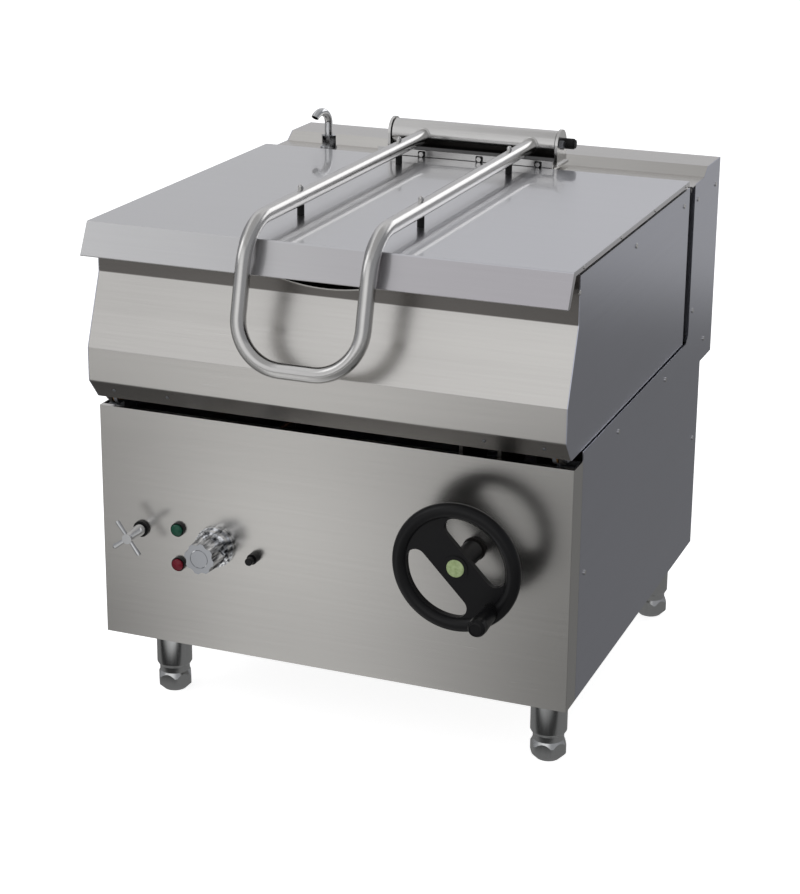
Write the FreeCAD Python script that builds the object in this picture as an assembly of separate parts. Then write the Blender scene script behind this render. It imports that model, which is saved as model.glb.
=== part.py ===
import FreeCAD, Part
import math
import os

V = FreeCAD.Vector
os.makedirs("parts", exist_ok=True)

# Tilting skillet, 800 wide, 900 deep class. While it is drawn, y = 0 is the front panel's face;
# save() moves everything so that the middle of the footprint is the origin.
half_width = 400.0
front_reach = 156.0
column_back = 844.0
footprint_middle = (column_back - front_reach) / 2
sheet = 1.5
play = 0.1

# Cabinet
cabinet_bottom = 142.0
cabinet_back = 766.0
panel_top = 538.0
panel_depth = 45.0
side_top = 553.5
column_top = 851.0
column_under = 491.0
column_front = 668.0
upstand_foot = 735.0
upstand_head = 757.0
shelf_height = 836.0
shelf_front = 648.0
post_width = 24.0
rail = 30.0
frame_half = half_width - 4
frame_front = 22.0
frame_back = cabinet_back - 6
leg_x = half_width - 63
leg_front = 117.0
leg_radius = 30.0
foot_height = 43.8
foot_flats = 54.0
foot_stem = 10.0

# Pan
pan_half = half_width - 2.5
pan_top = 836.0
pan_back = column_front - 28
pan_front = 7.0
pan_skirt = 556.0
nose_out = -36.0
nose_top = 645.0
nose_bottom = 590.6
chamfer_end = -7.5
undercut = 760.0
tray_height = 600.0
vessel_half = pan_half - 37.5
vessel_front = 22.0
vessel_back = pan_back - 14
vessel_bottom = pan_top - 200
vessel_base = 10.0
vessel_wall = 2.0
lip_radius = 320.0
lip_low = pan_top - 60

# Pan pivot and the screw drive that tilts it
pivot_y = 12.0
pivot_z = 558.0
pivot_pin = 8.0
pivot_boss = 16.0
drive_x = 245.0
screw_z = 389.0
roller_z = 430.0
tilt_range = math.radians(60)
nut_start = 58.0
nut_travel = 262.0
roller_radius = 11.0
cam_play = 0.3
cam_wall = 13.0
cam_inner = 28.0
cam_thick = 6.0
rear_bearing = 370.0

# Lid, its handle and hinge
lid_half = pan_half - 0.5
lid_top = pan_top + 12
lid_front = -25.0
lid_back = pan_back - 4
skirt_out = -50.5
skirt_low = 797.0
lid_side = 8.0
handle_radius = 12.5
handle_rise = 28.5
handle_height = lid_top + handle_rise
arm_left = -108.0
arm_right = 95.5
arm_corner = -51.5
handle_low = 670.0
handle_out = -103.0
hinge_x = -14.0
hinge_y = pan_back + 66
hinge_z = lid_top + 29
barrel_radius = 24.5
barrel_half = 153.5
cheek_radius = 27.5
hinge_shaft = 8.0
strip_top = pan_top + 10

# Controls
valve_x, valve_z = -329.0, 335.0
lamp_x = -262.0
lamp_high, lamp_low = 344.0, 284.0
knob_x, knob_z = -195.0, 325.0
reset_x, reset_z = -127.0, 316.0
wheel_plane = -80.0
wheel_radius = 102.5
tap_x, tap_y = -303.0, 706.0


def save(name, shape):
    moved = shape.copy()
    moved.translate(V(0, -footprint_middle, 0))
    moved.exportStep("parts/" + name + ".step")


def block(x0, x1, y0, y1, z0, z1):
    return Part.makeBox(x1 - x0, y1 - y0, z1 - z0, V(x0, y0, z0))


def rod(x, y, z, direction, radius, length):
    return Part.makeCylinder(radius, length, V(x, y, z), direction)


def ring(x, y, z, direction, outer, inner, length):
    return rod(x, y, z, direction, outer, length).cut(rod(x, y, z, direction, inner, length))


def hexagon(x, y, z, direction, flats, length):
    corner = flats / math.sqrt(3)
    turn = FreeCAD.Rotation(V(0, 0, 1), direction)
    points = []
    for k in range(7):
        angle = math.radians(60 * k)
        flat = V(corner * math.cos(angle), corner * math.sin(angle), 0)
        points.append(V(x, y, z) + turn.multVec(flat))
    face = Part.Face(Part.makePolygon(points))
    return face.extrude(direction * length)


# Flat plate across X from its (y, z) outline.
def plate(outline, x0, x1):
    points = [V(x0, y, z) for y, z in outline]
    return Part.Face(Part.makePolygon(points + points[:1])).extrude(V(x1 - x0, 0, 0))


def together(*shapes):
    first = shapes[0]
    return first.fuse(list(shapes[1:])).removeSplitter() if len(shapes) > 1 else first


# Sheet folded along X: its outer face follows path, its thickness lies to the left of it.
def folded(path, thickness, x0, x1):
    directions = []
    for (y0, z0), (y1, z1) in zip(path, path[1:]):
        length = math.hypot(y1 - y0, z1 - z0)
        directions.append(((y1 - y0) / length, (z1 - z0) / length))
    inner = []
    for i, (y, z) in enumerate(path):
        a = directions[max(i - 1, 0)]
        b = directions[min(i, len(directions) - 1)]
        scale = thickness / (1 + a[0] * b[0] + a[1] * b[1])
        inner.append((y - (a[1] + b[1]) * scale, z + (a[0] + b[0]) * scale))
    return plate(path + inner[::-1], x0, x1)


# Rounds the edges along X that pass through the given (y, z) spots.
def rounded(solid, spots, radius):
    edges = []
    for edge in solid.Edges:
        a, b = edge.Vertexes[0].Point, edge.Vertexes[-1].Point
        if abs(a.y - b.y) > 0.01 or abs(a.z - b.z) > 0.01 or abs(a.x - b.x) < 5:
            continue
        if any(math.hypot(a.y - y, a.z - z) < 0.1 for y, z in spots):
            edges.append(edge)
    return solid.makeFillet(radius, edges)


# Round tube along a wire of lines and arcs.
def pipe(edges, outer, inner=0.0):
    wire = Part.Wire(edges)
    start = edges[0].valueAt(edges[0].FirstParameter)
    heading = edges[0].tangentAt(edges[0].FirstParameter)

    def sweep(radius):
        circle = Part.Wire(Part.makeCircle(radius, start, heading))
        return wire.makePipeShell([circle], True, False, 2)

    solid = sweep(outer)
    return solid.cut(sweep(inner)) if inner else solid


# Edges of a path through points whose inner corners are rounded with the radii given.
def bent(points, radii):
    edges = []
    here = points[0]
    for k, radius in enumerate(radii):
        corner = points[k + 1]
        before = (points[k] - corner).normalize()
        after = (points[k + 2] - corner).normalize()
        opening = before.getAngle(after)
        set_back = radius / math.tan(opening / 2)
        a = corner + before * set_back
        b = corner + after * set_back
        middle = (before + after).normalize()
        top = corner + middle * (radius / math.sin(opening / 2) - radius)
        if (a - here).Length > 0.01:
            edges.append(Part.makeLine(here, a))
        edges.append(Part.Arc(a, top, b).toShape())
        here = b
    edges.append(Part.makeLine(here, points[-1]))
    return edges


X, Y, Z = V(1, 0, 0), V(0, 1, 0), V(0, 0, 1)
sides = (("left", -1), ("right", 1))


# X limits of a piece that lies between two distances from the middle plane.
def across(side, near, far):
    return (near, far) if side > 0 else (-far, -near)


# Front panel: one sheet with both ends folded back and narrow folds at top and bottom.
front_panel = together(
    block(-half_width, half_width, 0, sheet, cabinet_bottom, panel_top),
    block(-half_width, -half_width + sheet, 0, panel_depth, cabinet_bottom, panel_top),
    block(half_width - sheet, half_width, 0, panel_depth, cabinet_bottom, panel_top),
    block(-half_width, half_width, 0, 10, panel_top - sheet, panel_top),
    block(-half_width, half_width, 0, 20, cabinet_bottom, cabinet_bottom + sheet),
)
corner_edges = [
    edge for edge in front_panel.Edges
    if abs(abs(edge.CenterOfMass.x) - half_width) < 0.01 and abs(edge.CenterOfMass.y) < 0.01
    and edge.Length > 100
]
front_panel = front_panel.makeFillet(1.2, corner_edges)
for x, z, radius in (
    (valve_x, valve_z, 8.0), (lamp_x, lamp_high, 9.0), (lamp_x, lamp_low, 9.0),
    (knob_x, knob_z, 7.0), (reset_x, reset_z, 7.0), (drive_x, screw_z, 19.0),
):
    front_panel = front_panel.cut(rod(x, -1, z, Y, radius, 4))
save("front_panel", front_panel)

# Side panels: cabinet side and rear column in one sheet, with a fold along the cabinet's top.
side_outline = [
    (panel_depth + 0.5, cabinet_bottom), (cabinet_back, cabinet_bottom), (cabinet_back, column_under),
    (column_back, column_under), (column_back, column_top), (upstand_head, column_top),
    (upstand_foot, shelf_height), (column_front, shelf_height), (column_front, side_top + 14),
    (column_front - 12, side_top), (panel_depth + 0.5, side_top),
]
for name, s in sides:
    x0, x1 = across(s, half_width - sheet, half_width)
    skin = plate(side_outline, x0, x1)
    x0, x1 = across(s, half_width - 13, half_width - sheet)
    skin = together(skin, block(x0, x1, 60, column_front - 20, side_top - sheet, side_top))
    save("side_panel_" + name, skin)

inside = half_width - sheet - play
back_skin = block(-inside, inside, cabinet_back - sheet, cabinet_back, cabinet_bottom + 1.6, 560)
for k in range(5):
    for s in (-1, 1):
        z = 430 + 16 * k
        slot = block(s * 200 - 70, s * 200 + 70, cabinet_back - 3, cabinet_back + 1, z, z + 6)
        if z < column_under - 10:
            back_skin = back_skin.cut(slot)
gland_x, gland_z = 300.0, 200.0
back_skin = back_skin.cut(rod(gland_x, cabinet_back - 3, gland_z, Y, 12.6, 5))

save("bottom_panel", block(-inside, inside, 20.2, cabinet_back, cabinet_bottom, cabinet_bottom + sheet))

# Rear column: back skin with its underside fold, front skin, and the stepped cap.
column_inner = half_width - sheet - play
column_skin = folded(
    [(column_back, column_top), (column_back, column_under), (cabinet_back + play, column_under)],
    -sheet, -column_inner, column_inner)
column_face = block(-column_inner, column_inner, column_front, column_front + sheet,
                    510, shelf_height - sheet)
save("rear_skins", Part.makeCompound([back_skin, column_skin, column_face]))
cap_back = column_back - sheet - play
cap = folded(
    [(cap_back, column_top), (upstand_head, column_top), (upstand_foot, shelf_height),
     (shelf_front, shelf_height), (shelf_front, shelf_height - 10)],
    sheet, -column_inner, column_inner)
for name, s in sides:
    x0, x1 = across(s, column_inner, half_width)
    cap = together(cap, block(x0, x1, shelf_front, column_front - play, shelf_height - sheet, shelf_height))
cap = cap.cut(rod(tap_x, tap_y, shelf_height - 5, Z, 7, 10))
save("column_cap", cap)

# Base frame of square tubes and four posts.
frame_low = cabinet_bottom + sheet
frame_high = frame_low + rail


# Hollow square tube with 2 mm walls, open at both ends.
def square_tube(x0, x1, y0, y1, z0, z1, along):
    wall = 2.0
    grow = {"x": (0, wall, wall), "y": (wall, 0, wall), "z": (wall, wall, 0)}[along]
    core = block(x0 + grow[0], x1 - grow[0], y0 + grow[1], y1 - grow[1], z0 + grow[2], z1 - grow[2])
    return block(x0, x1, y0, y1, z0, z1).cut(core)


rear_rail = frame_back - rail
tubes = [square_tube(-frame_half, frame_half, y, y + rail, frame_low, frame_high, "x") for y in (frame_front, rear_rail)]
for name, s in sides:
    x0, x1 = across(s, frame_half - rail, frame_half)
    tubes.append(square_tube(x0, x1, frame_front + rail, rear_rail, frame_low, frame_high, "y"))
    x0, x1 = across(s, frame_half - post_width, frame_half)
    tubes.append(square_tube(x0, x1, frame_front, frame_front + rail, frame_high, panel_top - 3, "z"))
    tubes.append(square_tube(x0, x1, rear_rail - rail, rear_rail, frame_high, shelf_height - sheet, "z"))
save("base_frame", Part.makeCompound(tubes))

# Pivots: bracket plate on the front post, bronze bush in it, ear under the pan, pin through both.
brackets, bushes, ears, pins = [], [], [], []
post_inner = frame_half - post_width
ear_inner = post_inner + 4
for name, s in sides:
    x0, x1 = across(s, post_inner - 6, post_inner)
    bracket = plate(
        [(pivot_y - 12, pivot_z - 10), (pivot_y, pivot_z - pivot_boss), (frame_front - 2, pivot_z - pivot_boss),
         (frame_front - 2, panel_top - 108), (frame_front + 36, panel_top - 108),
         (frame_front + 36, panel_top - 8), (pivot_y + 12, pivot_z + 10)], x0, x1)
    bracket = together(bracket, rod(x0, pivot_y, pivot_z, X, pivot_boss, 6))
    brackets.append(bracket.cut(rod(x0 - 1, pivot_y, pivot_z, X, 11, 8)))
    x0, x1 = across(s, post_inner - 9, post_inner + 2)
    bush = rod(x0, pivot_y, pivot_z, X, 11, 11)
    x0, x1 = across(s, post_inner, post_inner + 2)
    bush = together(bush, rod(x0, pivot_y, pivot_z, X, 15, 2))
    bushes.append(bush.cut(rod(-half_width, pivot_y, pivot_z, X, pivot_pin + 0.06, 2 * half_width)))
    x0, x1 = across(s, ear_inner, ear_inner + 6)
    ear = plate([(pivot_y - pivot_boss, pivot_z), (pivot_y + pivot_boss, pivot_z), (84, tray_height - 18),
                 (84, tray_height), (pivot_y - pivot_boss, tray_height)], x0, x1)
    ear = together(ear, rod(x0, pivot_y, pivot_z, X, pivot_boss, 6))
    x0, x1 = across(s, ear_inner - 46, ear_inner)
    ear = together(ear, block(x0, x1, pivot_y + 4, 84, tray_height - 5, tray_height))
    ears.append(ear.cut(rod(-half_width, pivot_y, pivot_z, X, pivot_pin, 2 * half_width)))
    x0, x1 = across(s, ear_inner - 18, ear_inner + 6)
    pin = rod(x0, pivot_y, pivot_z, X, pivot_pin, 24)
    x0, x1 = across(s, ear_inner + 6, ear_inner + 12)
    pins.append(together(pin, rod(x0, pivot_y, pivot_z, X, 12, 6)))
save("pivot_brackets", Part.makeCompound(brackets))
save("pivot_bushes", Part.makeCompound(bushes))
save("pivot_ears", Part.makeCompound(ears))
save("pivot_pins", Part.makeCompound(pins))

# Legs: round tube with a welded top plate and a drawn-in neck; each foot screws down out of it.
neck_low = foot_height + 0.2
leg_spots = (("front_left", -1, leg_front), ("front_right", 1, leg_front),
             ("rear_left", -1, cabinet_back - 30), ("rear_right", 1, cabinet_back - 30))
leg_tubes = []
for name, s, y in leg_spots:
    x = s * leg_x
    shell = ring(x, y, neck_low + 6, Z, leg_radius, leg_radius - 2, cabinet_bottom - neck_low - 10)
    neck = Part.makeCone(26.5, leg_radius, 6, V(x, y, neck_low), Z)
    neck = neck.cut(rod(x, y, neck_low - 1, Z, foot_stem + 0.4, 8))
    top = block(x - 34, x + 34, y - 34, min(y + 34, cabinet_back - 2), cabinet_bottom - 4, cabinet_bottom)
    leg_tubes.append(together(shell, neck, top))
    outline = [V(0, 0, 0), V(20, 0, 0), V(30, 0, 10), V(30, 0, 25), V(25.5, 0, 34), V(25.5, 0, foot_height),
               V(foot_stem, 0, foot_height), V(foot_stem, 0, 126), V(0, 0, 126), V(0, 0, 0)]
    foot = Part.Face(Part.makePolygon(outline)).revolve(V(0, 0, 0), Z, 360)
    foot = foot.common(hexagon(0, 0, -1, Z, foot_flats, 130))
    foot.translate(V(x, y, 0))
    save("foot_" + name, foot)
save("leg_tubes", Part.makeCompound(leg_tubes))

# Vessel: deep drawn tank with a thick base and a deck flange, and the pouring notch in front.
tank = block(-vessel_half, vessel_half, vessel_front, vessel_back, vessel_bottom, pan_top)
upright = [e for e in tank.Edges if abs(e.Vertexes[0].Z - e.Vertexes[-1].Z) > 50]
tank = tank.makeFillet(42, upright)
lower_edges = [e for e in tank.Edges if abs(e.CenterOfMass.z - vessel_bottom) < 0.01]
tank = tank.makeFillet(14, lower_edges)
cavity_floor = vessel_bottom + vessel_base
cavity = block(-vessel_half + vessel_wall, vessel_half - vessel_wall, vessel_front + vessel_wall,
               vessel_back - vessel_wall, cavity_floor, pan_top + 40)
upright = [e for e in cavity.Edges if abs(e.Vertexes[0].Z - e.Vertexes[-1].Z) > 50]
cavity = cavity.makeFillet(40, upright)
lower_edges = [e for e in cavity.Edges if abs(e.CenterOfMass.z - cavity_floor) < 0.01]
cavity = cavity.makeFillet(20, lower_edges)
deck_half = pan_half - sheet - play
deck = block(-deck_half, deck_half, pan_front + sheet + play, pan_back - sheet - play, pan_top - 2, pan_top)
notch = rod(0, -60, lip_low + lip_radius, Y, lip_radius + 2.3, 120)
notch_top = block(-400, 400, -60, 30, 700, pan_top + 60)
vessel = together(tank, deck).cut(cavity).cut(notch.common(notch_top))
save("vessel", vessel)

# Pouring lip: trough sheet through the front wall, following the notch.
trough = ring(0, -3, lip_low + lip_radius, Y, lip_radius + 2, lip_radius, vessel_front + vessel_wall + 3)
save("pouring_lip", trough.common(block(-300, 300, -5, 60, 700, pan_top - 2.2)))

# Pan covers: folded nose sheet, plain side sheets, rear sheet and underside tray.
nose_path = [(pan_front, pan_top), (pan_front, undercut), (nose_out, nose_top), (nose_out, nose_bottom),
             (chamfer_end, pan_skirt)]
nose = folded(nose_path, sheet, -deck_half, deck_half)
nose = rounded(nose, nose_path[1:4], 3.0)
save("pan_front_cover", nose.cut(notch))
side_cover = nose_path + [(pan_back, pan_skirt + 1), (pan_back, pan_top)]
cover_limits = [across(s, pan_half - sheet, pan_half) for name, s in sides]
save("pan_side_covers", Part.makeCompound([plate(side_cover, x0, x1) for x0, x1 in cover_limits]))
save("pan_rear_cover", block(-deck_half, deck_half, pan_back - sheet, pan_back, pan_skirt + 4, pan_top - 2.1))
tray = block(-deck_half, deck_half, -20, pan_back - sheet - play, tray_height, tray_height + sheet)
rise = 14.0
for name, s in sides:
    x0, x1 = across(s, deck_half - sheet, deck_half)
    tray = together(tray, block(x0, x1, -20, pan_back - sheet - play, tray_height, tray_height + rise))
    x0, x1 = across(s, deck_half - 30, deck_half - 6)
    stiffener = square_tube(x0, x1, 10, pan_back - 8, tray_height + sheet, tray_height + 26, "y")
    tray = together(tray, stiffener)
for y in (120, 330, 540):
    tray = together(tray, block(-vessel_half + 30, vessel_half - 30, y, y + 24, tray_height, vessel_bottom - 12))
save("pan_tray", tray)

# Heating elements: three hairpin rods clamped against the vessel's base.
element_z = vessel_bottom - 6
hairpins = []
for k in range(3):
    x = -220 + 220 * k
    path = bent([V(x - 60, 590, element_z), V(x - 60, 70, element_z), V(x + 60, 70, element_z),
                 V(x + 60, 590, element_z)], [40, 40])
    hairpins.append(pipe(path, 5.5))
save("heating_elements", Part.makeCompound(hairpins))

# Tilt drive. With the nut at a distance d behind the pivot and h below it, the roller's place on
# the pan is the turned-back vector (d, -h); the slot follows that curve, so equal turns of the
# handwheel give equal tilt at every angle.
drop = pivot_z - roller_z


def cam_point(turn):
    reach = nut_start - pivot_y + nut_travel * turn / tilt_range
    y = reach * math.cos(turn) - drop * math.sin(turn)
    z = -reach * math.sin(turn) - drop * math.cos(turn)
    return V(0, pivot_y + y, pivot_z + z)


# Face around the roller's path: two offset curves closed by round ends.
def cam_band(margin, first, last):
    steps = 18
    turns = [first + (last - first) * k / steps for k in range(steps + 1)]
    right, left, ends = [], [], []
    for turn in turns:
        heading = (cam_point(turn + 0.004) - cam_point(turn - 0.004)).normalize()
        side = X.cross(heading).normalize()
        right.append(cam_point(turn) + side * margin)
        left.append(cam_point(turn) - side * margin)
        ends.append(heading)
    edges = []
    for row in (right, left[::-1]):
        curve = Part.BSplineCurve()
        curve.interpolate(row)
        edges.append(curve.toShape())
    far = Part.Arc(right[-1], cam_point(last) + ends[-1] * margin, left[-1]).toShape()
    near = Part.Arc(left[0], cam_point(first) - ends[0] * margin, right[0]).toShape()
    return Part.Face(Part.Wire([edges[0], far, edges[1], near]))


slot_face = cam_band(roller_radius + cam_play, -0.004, tilt_range + 0.004)
cam_face = cam_band(roller_radius + cam_wall, 0, tilt_range)
root = plate([(pivot_y + 6, tray_height), (pivot_y + 6, tray_height - 100), (nut_start - 24, roller_z),
              (nut_start + 24, roller_z), (nut_start + 92, tray_height - 80),
              (nut_start + 132, tray_height)], 0, cam_thick)
cam_plates = []
for name, s in sides:
    cheek = together(cam_face.extrude(V(cam_thick, 0, 0)), root)
    cheek = cheek.cut(slot_face.extrude(V(cam_thick, 0, 0)))
    cheek.translate(V(drive_x + (cam_inner if s > 0 else -cam_inner - cam_thick), 0, 0))
    x0, x1 = across(s, cam_inner + cam_thick, cam_inner + cam_thick + 22)
    foot_plate = block(drive_x + x0, drive_x + x1, pivot_y + 12, 186, tray_height - 5, tray_height)
    cam_plates.append(together(cheek, foot_plate))
save("cam_plates", Part.makeCompound(cam_plates))

nut_y = nut_start
nut = block(drive_x - 20, drive_x + 20, nut_y - 20, nut_y + 20, 336, roller_z + 14)
screw_radius = 10.0
nut = nut.cut(rod(drive_x, nut_y - 30, screw_z, Y, screw_radius + 0.08, 60))
nut = nut.cut(rod(drive_x, nut_y - 30, 352, Y, 7.08, 60))
axle = rod(drive_x - 36, nut_y, roller_z, X, 6, 72)
for x in (drive_x - 27.6, drive_x + 20):
    nut = together(nut, rod(x, nut_y, roller_z, X, 9, 7.6))
save("travel_nut", together(nut, axle, rod(drive_x - 38, nut_y, roller_z, X, 8, 2),
                            rod(drive_x + 36, nut_y, roller_z, X, 8, 2)))
rollers = [ring(drive_x + s * 28 - (7 if s < 0 else 0), nut_y, roller_z, X, roller_radius, 6.06, 7)
           for s in (-1, 1)]
save("nut_rollers", Part.makeCompound(rollers))

spindle = rod(drive_x, -4, screw_z, Y, screw_radius - 1, 26)
spindle = together(spindle, rod(drive_x, 22, screw_z, Y, screw_radius, rear_bearing - 24),
                   rod(drive_x, rear_bearing - 2, screw_z, Y, 8, 34),
                   rod(drive_x, rear_bearing + 22.2, screw_z, Y, 14, 9),
                   rod(drive_x, wheel_plane - 4, screw_z, Y, 8, -wheel_plane))
save("screw_spindle", spindle)
save("guide_rod", rod(drive_x, 24, 352, Y, 7, rear_bearing - 24))
front_block = block(drive_x - 22, drive_x + 22, sheet, 20, 330, 414)
front_block = together(front_block, rod(drive_x, -3, screw_z, Y, 18, 5))
front_block = front_block.cut(rod(drive_x, -5, screw_z, Y, screw_radius - 1 + 0.06, 40))
front_block = together(front_block, block(drive_x - 22, drive_x + 22, 20, 24, 330, 366))
pedestal = block(drive_x - 22, drive_x + 22, rear_bearing, rear_bearing + 22, frame_low, 414)
pedestal = together(pedestal, block(drive_x - 24, drive_x + 24, rear_bearing - 24, rear_bearing + 46,
                                    frame_low, frame_low + 8))
pedestal = pedestal.cut(rod(drive_x, rear_bearing - 5, screw_z, Y, 8.06, 40))
save("spindle_bearings", Part.makeCompound([front_block, pedestal]))

# Handwheel: dished rim, one broad diagonal web with a boss, grip on the lower end of the web.
rim_inner = 79.0
rim = Part.makeTorus(91, 11.5, V(drive_x, wheel_plane, screw_z), Y)
web_angle = -46.0
web_disc = rod(drive_x, wheel_plane - 4, screw_z, Y, 86, 10)
window_offset = 25.5
for s in (-1, 1):
    opening = rod(0, -12, 0, Y, rim_inner, 30)
    half = block(-100, 100, -20, 30, window_offset, 100)
    pane = opening.common(half)
    pane = pane.makeFillet(16, [e for e in pane.Edges
                                if abs(e.Vertexes[0].Y - e.Vertexes[-1].Y) > 20])
    pane.rotate(V(0, 0, 0), Y, -web_angle + (180 if s < 0 else 0))
    pane.translate(V(drive_x, wheel_plane, screw_z))
    web_disc = web_disc.cut(pane)
boss = rod(drive_x, wheel_plane - 5.2, screw_z, Y, 20, 13)
back_boss = rod(drive_x, wheel_plane, screw_z, Y, 17, -wheel_plane - 10)
wheel = together(web_disc, rim, boss, back_boss)
wheel = wheel.cut(rod(drive_x, wheel_plane - 4, screw_z, Y, 8, 120))
grip_angle = math.radians(web_angle)
grip_x = drive_x + 84 * math.cos(grip_angle)
grip_z = screw_z + 84 * math.sin(grip_angle)
wheel = together(wheel, rod(grip_x, wheel_plane - 11.8, grip_z, Y, 13, 12))
wheel = wheel.cut(rod(grip_x, wheel_plane - 30, grip_z, Y, 5, 60))
wheel = wheel.cut(rod(drive_x, wheel_plane - 6, screw_z, Y, 14.2, 2))
save("handwheel", wheel)
cap_dome = Part.makeSphere(60, V(drive_x, wheel_plane + 53.6, screw_z)).common(
    rod(drive_x, wheel_plane - 12, screw_z, Y, 14, 8))
save("hub_cap", cap_dome)
save("grip_bolt", together(rod(grip_x, wheel_plane - 60, grip_z, Y, 5, 72),
                           hexagon(grip_x, wheel_plane + 12, grip_z, Y, 13, 5)))
grip_outline = [V(5.08, 0, 0), V(11.5, 0, 0), V(12, 0, 5), V(14.5, 0, 48), V(13.8, 0, 58), V(11, 0, 63.5),
                V(9.4, 0, 64), V(8.8, 0, 62.8), V(0, 0, 62.8), V(0, 0, 49), V(5.08, 0, 49), V(5.08, 0, 0)]
grip = Part.Face(Part.makePolygon(grip_outline)).revolve(V(0, 0, 0), Z, 360)
grip.rotate(V(0, 0, 0), X, 90)
grip.translate(V(grip_x, wheel_plane - 12, grip_z))
save("crank_grip", grip)

# Controls on the front panel.
save("valve_ring", ring(valve_x, -5, valve_z, Y, 13.5, 11, 5))
valve = together(rod(valve_x, sheet, valve_z, Y, 13, 14), hexagon(valve_x, 15.5, valve_z, Y, 30, 26),
                 rod(valve_x, 41.5, valve_z, Y, 8, 14))
save("valve_body", valve.cut(rod(valve_x, 0, valve_z, Y, 6.08, 34)))
handle_y = -47.0
stem = together(rod(valve_x, -12, valve_z, Y, 6, 44),
                Part.makeCone(7, 10.6, 42, V(valve_x, handle_y + 3, valve_z), Y),
                rod(valve_x, handle_y - 6, valve_z, Y, 8.5, 12))
arms = []
for k in range(4):
    angle = math.radians(36 + 90 * k)
    heading = V(math.cos(angle), 0, math.sin(angle))
    root = V(valve_x, handle_y, valve_z) + heading * 4
    arm = Part.makeCone(3.1, 4.2, 27, root, heading)
    arms.append(together(arm, Part.makeCone(4.2, 3.2, 2, root + heading * 27, heading)))
save("valve_handle", together(stem, *arms))

holders = [together(ring(lamp_x, -6, z, Y, 11.7, 10.2, 6), ring(lamp_x, -1, z, Y, 11.7, 8, 1),
                    ring(lamp_x, -1, z, Y, 8.9, 8, 5), rod(lamp_x, 3.1, z, Y, 12, 30))
           for z in (lamp_high, lamp_low)]
for name, z in (("green", lamp_high), ("red", lamp_low)):
    dome = Part.makeSphere(16, V(lamp_x, 3.6, z)).common(rod(lamp_x, -14, z, Y, 10, 10))
    lens = together(dome, rod(lamp_x, -4, z, Y, 10, 3), rod(lamp_x, -1, z, Y, 7.8, 4))
    save("lamp_lens_" + name, lens)
save("lamp_holders", Part.makeCompound(holders))

thermostat = together(block(knob_x - 24, knob_x + 24, 2, 40, knob_z - 28, knob_z + 28),
                      rod(knob_x, sheet, knob_z, Y, 10, 6))
save("thermostat_body", thermostat.cut(rod(knob_x, 0, knob_z, Y, 3.1, 30)))
skirt = together(rod(knob_x, -7, knob_z, Y, 33.5, 6.5), rod(knob_x, -19, knob_z, Y, 31, 12))
knob_shape = Part.makeCone(26, 28, 43, V(knob_x, -62, knob_z), Y)
for k in range(8):
    angle = math.radians(45 * k + 12)
    flute = rod(knob_x + 33.5 * math.cos(angle), -63, knob_z + 33.5 * math.sin(angle), Y, 10.5, 39)
    knob_shape = knob_shape.cut(flute)
shaft = rod(knob_x, -1, knob_z, Y, 3, 27)
recess = ring(knob_x, -63, knob_z, Y, 15.5, 14.5, 3)
save("thermostat_knob", together(knob_shape, skirt, shaft).cut(recess))
housing = together(rod(reset_x, -11, reset_z, Y, 8.8, 11), rod(reset_x, 0, reset_z, Y, 6.8, sheet),
                   rod(reset_x, sheet, reset_z, Y, 9.5, 24))
save("reset_housing", housing.cut(rod(reset_x, -12, reset_z, Y, 4.7, 34)))
button = together(rod(reset_x, -24, reset_z, Y, 6.4, 9), rod(reset_x, -15, reset_z, Y, 4.3, 28))
button_rim = [e for e in button.Edges if abs(e.CenterOfMass.y + 24) < 0.01]
save("reset_button", button.makeFillet(1.6, button_rim))

terminal = together(block(120, 200, 560, 600, 240, 400), block(110, 210, 600, 603, 230, 410))
terminal.translate(V(0, 161.4, 0))
save("terminal_box", terminal)
save("cable_gland", together(
    hexagon(gland_x, cabinet_back, gland_z, Y, 32, 8), rod(gland_x, cabinet_back + 8, gland_z, Y, 14, 14),
    rod(gland_x, cabinet_back - 10, gland_z, Y, 12.3, 12)).cut(
    rod(gland_x, cabinet_back - 20, gland_z, Y, 7, 60)))

# Water: pipe from the valve to the shelf, nut on the shelf, swivelling swan-neck spout.
feed = bent([V(valve_x, 55.8, valve_z), V(valve_x, tap_y - 60, valve_z), V(tap_x, tap_y, valve_z + 60),
             V(tap_x, tap_y, shelf_height - 26)], [24, 24])
save("water_pipe", pipe(feed, 6))
nut_base = together(rod(tap_x, tap_y, shelf_height, Z, 15.5, 3),
                    hexagon(tap_x, tap_y, shelf_height + 3, Z, 25, 20),
                    rod(tap_x, tap_y, shelf_height - 8, Z, 6.8, 8),
                    rod(tap_x, tap_y, shelf_height - 25.8, Z, 12, 17.8))
save("spout_nut", nut_base.cut(rod(tap_x, tap_y, shelf_height - 12, Z, 6.06, 40)))
spout_radius = 7.2
swan = 24.0
rise_z = 881.0
lean = V(-0.22, -0.975, 0).normalize()
end_rise = math.radians(42)
base = V(tap_x, tap_y, shelf_height + 23.2)
start = V(tap_x, tap_y, rise_z)
centre = start + lean * swan
arc_end = centre + lean * (swan * math.cos(end_rise)) + Z * (swan * math.sin(end_rise))
arc_mid = centre + (Z - lean * 0.35).normalize() * swan
neck_path = [Part.makeLine(base, start), Part.Arc(start, arc_mid, arc_end).toShape()]
spout = together(pipe(neck_path, spout_radius, spout_radius - 1.2),
                 rod(tap_x, tap_y, shelf_height - 10, Z, 6, 33.2),
                 rod(tap_x, tap_y, shelf_height + 23.2, Z, 6.6, 4))
save("spout", spout)

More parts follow.
